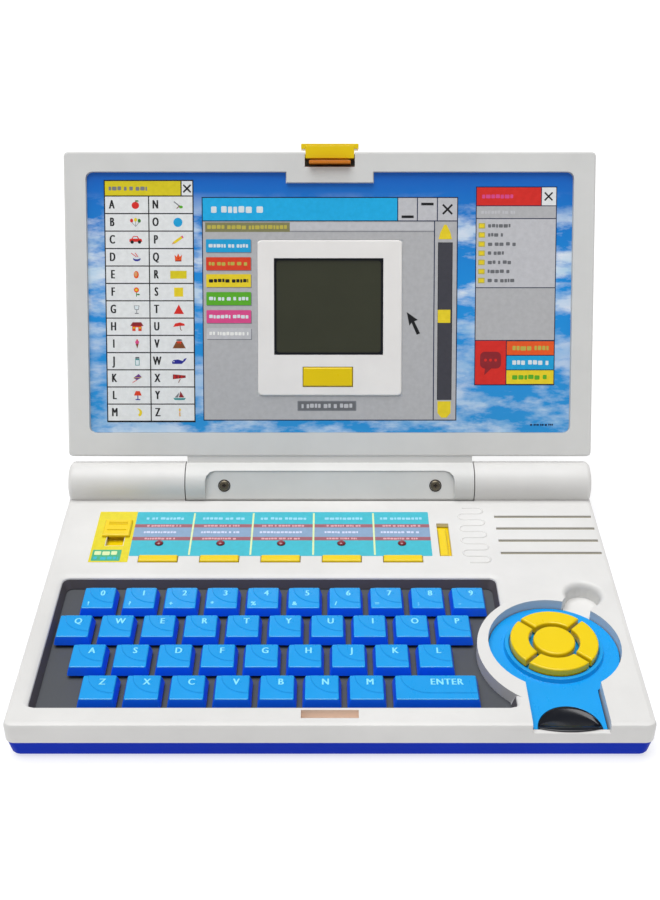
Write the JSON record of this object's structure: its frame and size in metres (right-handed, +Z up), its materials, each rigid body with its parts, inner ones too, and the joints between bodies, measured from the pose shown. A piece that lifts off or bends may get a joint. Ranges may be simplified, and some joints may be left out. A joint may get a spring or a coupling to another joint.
{
  "type": "toy laptop computer",
  "caption": "Toy laptop: white clamshell case with blue keyboard, round control pad, select buttons, sliders and a hinged lid with a small LCD.",
  "frame": {"origin": "middle of the bottom of the whole object with the lid open, on the ground", "axes": "+X to the right of the person who types, +Y from the front edge to the lid, +Z up"},
  "size_m": [0.27, 0.2554, 0.1778],
  "materials": {
    "white": "fine satin ABS",
    "bezel_white": "fine satin ABS, light grey-white",
    "shell_blue": "satin deep blue ABS",
    "key_blue": "semi-gloss bright blue",
    "pad_blue": "semi-gloss bright blue",
    "yellow": "semi-gloss yellow",
    "plate_grey": "matte grey",
    "board_green": "green lacquered circuit board",
    "screen": "dark olive-grey LCD glass"
  },
  "bodies": {
    "case": {"base_upper_case": "white", "base_lower_case": "shell_blue", "battery_door": "shell_blue", "main_board": "board_green", "keyboard_plate": "plate_grey", "pad_housing": "pad_blue"},
    "lid": {"lid_bezel": "bezel_white", "lid_back": "white", "lcd_panel": "screen"},
    "catch": {"catch": "yellow"},
    "mode_slider": {"mode_slider": "yellow"},
    "volume_slider": {"volume_slider": "yellow"},
    "contrast_button": {"contrast_button": "yellow"},
    "pad_centre": {"pad_centre": "yellow"},
    "pad_up": {"pad_up": "yellow"},
    "pad_right": {"pad_right": "yellow"},
    "pad_down": {"pad_down": "yellow"},
    "pad_left": {"pad_left": "yellow"},
    "select_1": {"select_1": "yellow"},
    "select_2": {"select_2": "yellow"},
    "select_3": {"select_3": "yellow"},
    "select_4": {"select_4": "yellow"},
    "select_5": {"select_5": "yellow"},
    "key_1": {"key_1": "key_blue"},
    "key_2": {"key_2": "key_blue"},
    "key_3": {"key_3": "key_blue"},
    "key_4": {"key_4": "key_blue"},
    "key_5": {"key_5": "key_blue"},
    "key_6": {"key_6": "key_blue"},
    "key_7": {"key_7": "key_blue"},
    "key_8": {"key_8": "key_blue"},
    "key_9": {"key_9": "key_blue"},
    "key_0": {"key_0": "key_blue"},
    "key_q": {"key_q": "key_blue"},
    "key_w": {"key_w": "key_blue"},
    "key_e": {"key_e": "key_blue"},
    "key_r": {"key_r": "key_blue"},
    "key_t": {"key_t": "key_blue"},
    "key_y": {"key_y": "key_blue"},
    "key_u": {"key_u": "key_blue"},
    "key_i": {"key_i": "key_blue"},
    "key_o": {"key_o": "key_blue"},
    "key_p": {"key_p": "key_blue"},
    "key_a": {"key_a": "key_blue"},
    "key_s": {"key_s": "key_blue"},
    "key_d": {"key_d": "key_blue"},
    "key_f": {"key_f": "key_blue"},
    "key_g": {"key_g": "key_blue"},
    "key_h": {"key_h": "key_blue"},
    "key_j": {"key_j": "key_blue"},
    "key_k": {"key_k": "key_blue"},
    "key_l": {"key_l": "key_blue"},
    "key_z": {"key_z": "key_blue"},
    "key_x": {"key_x": "key_blue"},
    "key_c": {"key_c": "key_blue"},
    "key_v": {"key_v": "key_blue"},
    "key_b": {"key_b": "key_blue"},
    "key_n": {"key_n": "key_blue"},
    "key_m": {"key_m": "key_blue"},
    "key_enter": {"key_enter": "key_blue"}
  },
  "joints": [
    {"name": "lid_hinge", "type": "hinge", "parent": "case", "child": "lid", "pos_m": [0, 0.04131, 0.024], "axis": [1, 0, 0], "range_deg": [0, 118]},
    {"name": "catch_slide", "type": "slide", "parent": "lid", "child": "catch", "axis": [0, -0.471, -0.8821], "range_m": [0, 0.0012], "stiffness_N_per_m": 900},
    {"name": "mode_slide", "type": "slide", "parent": "case", "child": "mode_slider", "axis": [0, -1, 0], "range_m": [0, 0.0085]},
    {"name": "volume_slide", "type": "slide", "parent": "case", "child": "volume_slider", "axis": [0, 1, 0], "range_m": [0, 0.0042]},
    {"name": "contrast_press", "type": "slide", "parent": "lid", "child": "contrast_button", "axis": [0, 0.8821, -0.471], "range_m": [0, 0.0008], "stiffness_N_per_m": 500},
    {"name": "pad_centre_press", "type": "slide", "parent": "case", "child": "pad_centre", "axis": [0, 0, -1], "range_m": [0, 0.001], "stiffness_N_per_m": 400},
    {"name": "pad_up_press", "type": "slide", "parent": "case", "child": "pad_up", "axis": [0, 0, -1], "range_m": [0, 0.001], "stiffness_N_per_m": 400},
    {"name": "pad_right_press", "type": "slide", "parent": "case", "child": "pad_right", "axis": [0, 0, -1], "range_m": [0, 0.001], "stiffness_N_per_m": 400},
    {"name": "pad_down_press", "type": "slide", "parent": "case", "child": "pad_down", "axis": [0, 0, -1], "range_m": [0, 0.001], "stiffness_N_per_m": 400},
    {"name": "pad_left_press", "type": "slide", "parent": "case", "child": "pad_left", "axis": [0, 0, -1], "range_m": [0, 0.001], "stiffness_N_per_m": 400},
    {"name": "select_1_press", "type": "slide", "parent": "case", "child": "select_1", "axis": [0, 0, -1], "range_m": [0, 0.0007], "stiffness_N_per_m": 400},
    {"name": "select_2_press", "type": "slide", "parent": "case", "child": "select_2", "axis": [0, 0, -1], "range_m": [0, 0.0007], "stiffness_N_per_m": 400},
    {"name": "select_3_press", "type": "slide", "parent": "case", "child": "select_3", "axis": [0, 0, -1], "range_m": [0, 0.0007], "stiffness_N_per_m": 400},
    {"name": "select_4_press", "type": "slide", "parent": "case", "child": "select_4", "axis": [0, 0, -1], "range_m": [0, 0.0007], "stiffness_N_per_m": 400},
    {"name": "select_5_press", "type": "slide", "parent": "case", "child": "select_5", "axis": [0, 0, -1], "range_m": [0, 0.0007], "stiffness_N_per_m": 400},
    {"name": "key_1_press", "type": "slide", "parent": "case", "child": "key_1", "axis": [0, 0, -1], "range_m": [0, 0.0014], "stiffness_N_per_m": 300},
    {"name": "key_2_press", "type": "slide", "parent": "case", "child": "key_2", "axis": [0, 0, -1], "range_m": [0, 0.0014], "stiffness_N_per_m": 300},
    {"name": "key_3_press", "type": "slide", "parent": "case", "child": "key_3", "axis": [0, 0, -1], "range_m": [0, 0.0014], "stiffness_N_per_m": 300},
    {"name": "key_4_press", "type": "slide", "parent": "case", "child": "key_4", "axis": [0, 0, -1], "range_m": [0, 0.0014], "stiffness_N_per_m": 300},
    {"name": "key_5_press", "type": "slide", "parent": "case", "child": "key_5", "axis": [0, 0, -1], "range_m": [0, 0.0014], "stiffness_N_per_m": 300},
    {"name": "key_6_press", "type": "slide", "parent": "case", "child": "key_6", "axis": [0, 0, -1], "range_m": [0, 0.0014], "stiffness_N_per_m": 300},
    {"name": "key_7_press", "type": "slide", "parent": "case", "child": "key_7", "axis": [0, 0, -1], "range_m": [0, 0.0014], "stiffness_N_per_m": 300},
    {"name": "key_8_press", "type": "slide", "parent": "case", "child": "key_8", "axis": [0, 0, -1], "range_m": [0, 0.0014], "stiffness_N_per_m": 300},
    {"name": "key_9_press", "type": "slide", "parent": "case", "child": "key_9", "axis": [0, 0, -1], "range_m": [0, 0.0014], "stiffness_N_per_m": 300},
    {"name": "key_0_press", "type": "slide", "parent": "case", "child": "key_0", "axis": [0, 0, -1], "range_m": [0, 0.0014], "stiffness_N_per_m": 300},
    {"name": "key_q_press", "type": "slide", "parent": "case", "child": "key_q", "axis": [0, 0, -1], "range_m": [0, 0.0014], "stiffness_N_per_m": 300},
    {"name": "key_w_press", "type": "slide", "parent": "case", "child": "key_w", "axis": [0, 0, -1], "range_m": [0, 0.0014], "stiffness_N_per_m": 300},
    {"name": "key_e_press", "type": "slide", "parent": "case", "child": "key_e", "axis": [0, 0, -1], "range_m": [0, 0.0014], "stiffness_N_per_m": 300},
    {"name": "key_r_press", "type": "slide", "parent": "case", "child": "key_r", "axis": [0, 0, -1], "range_m": [0, 0.0014], "stiffness_N_per_m": 300},
    {"name": "key_t_press", "type": "slide", "parent": "case", "child": "key_t", "axis": [0, 0, -1], "range_m": [0, 0.0014], "stiffness_N_per_m": 300},
    {"name": "key_y_press", "type": "slide", "parent": "case", "child": "key_y", "axis": [0, 0, -1], "range_m": [0, 0.0014], "stiffness_N_per_m": 300},
    {"name": "key_u_press", "type": "slide", "parent": "case", "child": "key_u", "axis": [0, 0, -1], "range_m": [0, 0.0014], "stiffness_N_per_m": 300},
    {"name": "key_i_press", "type": "slide", "parent": "case", "child": "key_i", "axis": [0, 0, -1], "range_m": [0, 0.0014], "stiffness_N_per_m": 300},
    {"name": "key_o_press", "type": "slide", "parent": "case", "child": "key_o", "axis": [0, 0, -1], "range_m": [0, 0.0014], "stiffness_N_per_m": 300},
    {"name": "key_p_press", "type": "slide", "parent": "case", "child": "key_p", "axis": [0, 0, -1], "range_m": [0, 0.0014], "stiffness_N_per_m": 300},
    {"name": "key_a_press", "type": "slide", "parent": "case", "child": "key_a", "axis": [0, 0, -1], "range_m": [0, 0.0014], "stiffness_N_per_m": 300},
    {"name": "key_s_press", "type": "slide", "parent": "case", "child": "key_s", "axis": [0, 0, -1], "range_m": [0, 0.0014], "stiffness_N_per_m": 300},
    {"name": "key_d_press", "type": "slide", "parent": "case", "child": "key_d", "axis": [0, 0, -1], "range_m": [0, 0.0014], "stiffness_N_per_m": 300},
    {"name": "key_f_press", "type": "slide", "parent": "case", "child": "key_f", "axis": [0, 0, -1], "range_m": [0, 0.0014], "stiffness_N_per_m": 300},
    {"name": "key_g_press", "type": "slide", "parent": "case", "child": "key_g", "axis": [0, 0, -1], "range_m": [0, 0.0014], "stiffness_N_per_m": 300},
    {"name": "key_h_press", "type": "slide", "parent": "case", "child": "key_h", "axis": [0, 0, -1], "range_m": [0, 0.0014], "stiffness_N_per_m": 300},
    {"name": "key_j_press", "type": "slide", "parent": "case", "child": "key_j", "axis": [0, 0, -1], "range_m": [0, 0.0014], "stiffness_N_per_m": 300},
    {"name": "key_k_press", "type": "slide", "parent": "case", "child": "key_k", "axis": [0, 0, -1], "range_m": [0, 0.0014], "stiffness_N_per_m": 300},
    {"name": "key_l_press", "type": "slide", "parent": "case", "child": "key_l", "axis": [0, 0, -1], "range_m": [0, 0.0014], "stiffness_N_per_m": 300},
    {"name": "key_z_press", "type": "slide", "parent": "case", "child": "key_z", "axis": [0, 0, -1], "range_m": [0, 0.0014], "stiffness_N_per_m": 300},
    {"name": "key_x_press", "type": "slide", "parent": "case", "child": "key_x", "axis": [0, 0, -1], "range_m": [0, 0.0014], "stiffness_N_per_m": 300},
    {"name": "key_c_press", "type": "slide", "parent": "case", "child": "key_c", "axis": [0, 0, -1], "range_m": [0, 0.0014], "stiffness_N_per_m": 300},
    {"name": "key_v_press", "type": "slide", "parent": "case", "child": "key_v", "axis": [0, 0, -1], "range_m": [0, 0.0014], "stiffness_N_per_m": 300},
    {"name": "key_b_press", "type": "slide", "parent": "case", "child": "key_b", "axis": [0, 0, -1], "range_m": [0, 0.0014], "stiffness_N_per_m": 300},
    {"name": "key_n_press", "type": "slide", "parent": "case", "child": "key_n", "axis": [0, 0, -1], "range_m": [0, 0.0014], "stiffness_N_per_m": 300},
    {"name": "key_m_press", "type": "slide", "parent": "case", "child": "key_m", "axis": [0, 0, -1], "range_m": [0, 0.0014], "stiffness_N_per_m": 300},
    {"name": "key_enter_press", "type": "slide", "parent": "case", "child": "key_enter", "axis": [0, 0, -1], "range_m": [0, 0.0014], "stiffness_N_per_m": 300}
  ]
}
